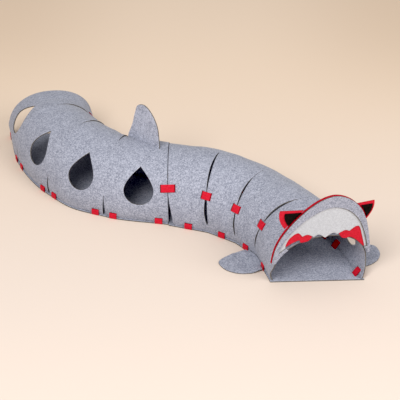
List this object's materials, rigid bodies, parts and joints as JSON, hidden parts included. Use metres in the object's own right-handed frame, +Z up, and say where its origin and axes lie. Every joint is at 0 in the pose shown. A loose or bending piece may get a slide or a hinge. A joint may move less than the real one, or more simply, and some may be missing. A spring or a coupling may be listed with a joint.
{
  "type": "cat tunnel",
  "caption": "S-shaped cat play tunnel of stiff felt arched over a flat floor, with peep holes, strap fastenings, fins and a shark face round the mouth.",
  "frame": {"origin": "middle of the bounding box, on the ground under the floor sheets", "axes": "+X along the longest extent, from the tail half to the face half; +Y from the mouth towards the tail; +Z up"},
  "size_m": [1.2468, 1.013, 0.337],
  "materials": {
    "felt_grey": "matt flecked felt",
    "felt_red": "matt felt",
    "felt_white": "matt felt",
    "felt_black": "matt felt"
  },
  "bodies": {
    "root": {"wall_rear": "felt_grey", "floor_rear": "felt_grey", "wall_front": "felt_grey", "floor_front": "felt_grey", "dorsal_fin": "felt_grey", "pectoral_fin_left": "felt_grey", "pectoral_fin_right": "felt_grey", "face_plate": "felt_grey", "face_backing": "felt_red", "gum_left": "felt_red", "gum_right": "felt_red", "slit_strap_rear_1": "felt_red", "slit_strap_rear_2": "felt_red", "slit_strap_rear_3": "felt_red", "slit_strap_front_1": "felt_red", "slit_strap_front_2": "felt_red", "slit_strap_front_3": "felt_red", "floor_strap_rear_1": "felt_red", "floor_strap_rear_2": "felt_red", "floor_strap_rear_3": "felt_red", "floor_strap_rear_4": "felt_red", "floor_strap_rear_5": "felt_red", "floor_strap_rear_6": "felt_red", "floor_strap_rear_7": "felt_red", "floor_strap_rear_8": "felt_red", "floor_strap_rear_9": "felt_red", "floor_strap_rear_10": "felt_red", "floor_strap_rear_11": "felt_red", "floor_strap_rear_12": "felt_red", "floor_strap_front_1": "felt_red", "floor_strap_front_2": "felt_red", "floor_strap_front_3": "felt_red", "floor_strap_front_4": "felt_red", "floor_strap_front_5": "felt_red", "floor_strap_front_6": "felt_red", "floor_strap_front_7": "felt_red", "floor_strap_front_8": "felt_red", "floor_strap_front_9": "felt_red", "floor_strap_front_10": "felt_red", "floor_strap_front_11": "felt_red", "floor_strap_front_12": "felt_red", "seam_strap_near": "felt_red", "seam_strap_far": "felt_red", "teeth_panel": "felt_white", "eye_left": "felt_black", "eye_right": "felt_black"}
  },
  "joints": []
}
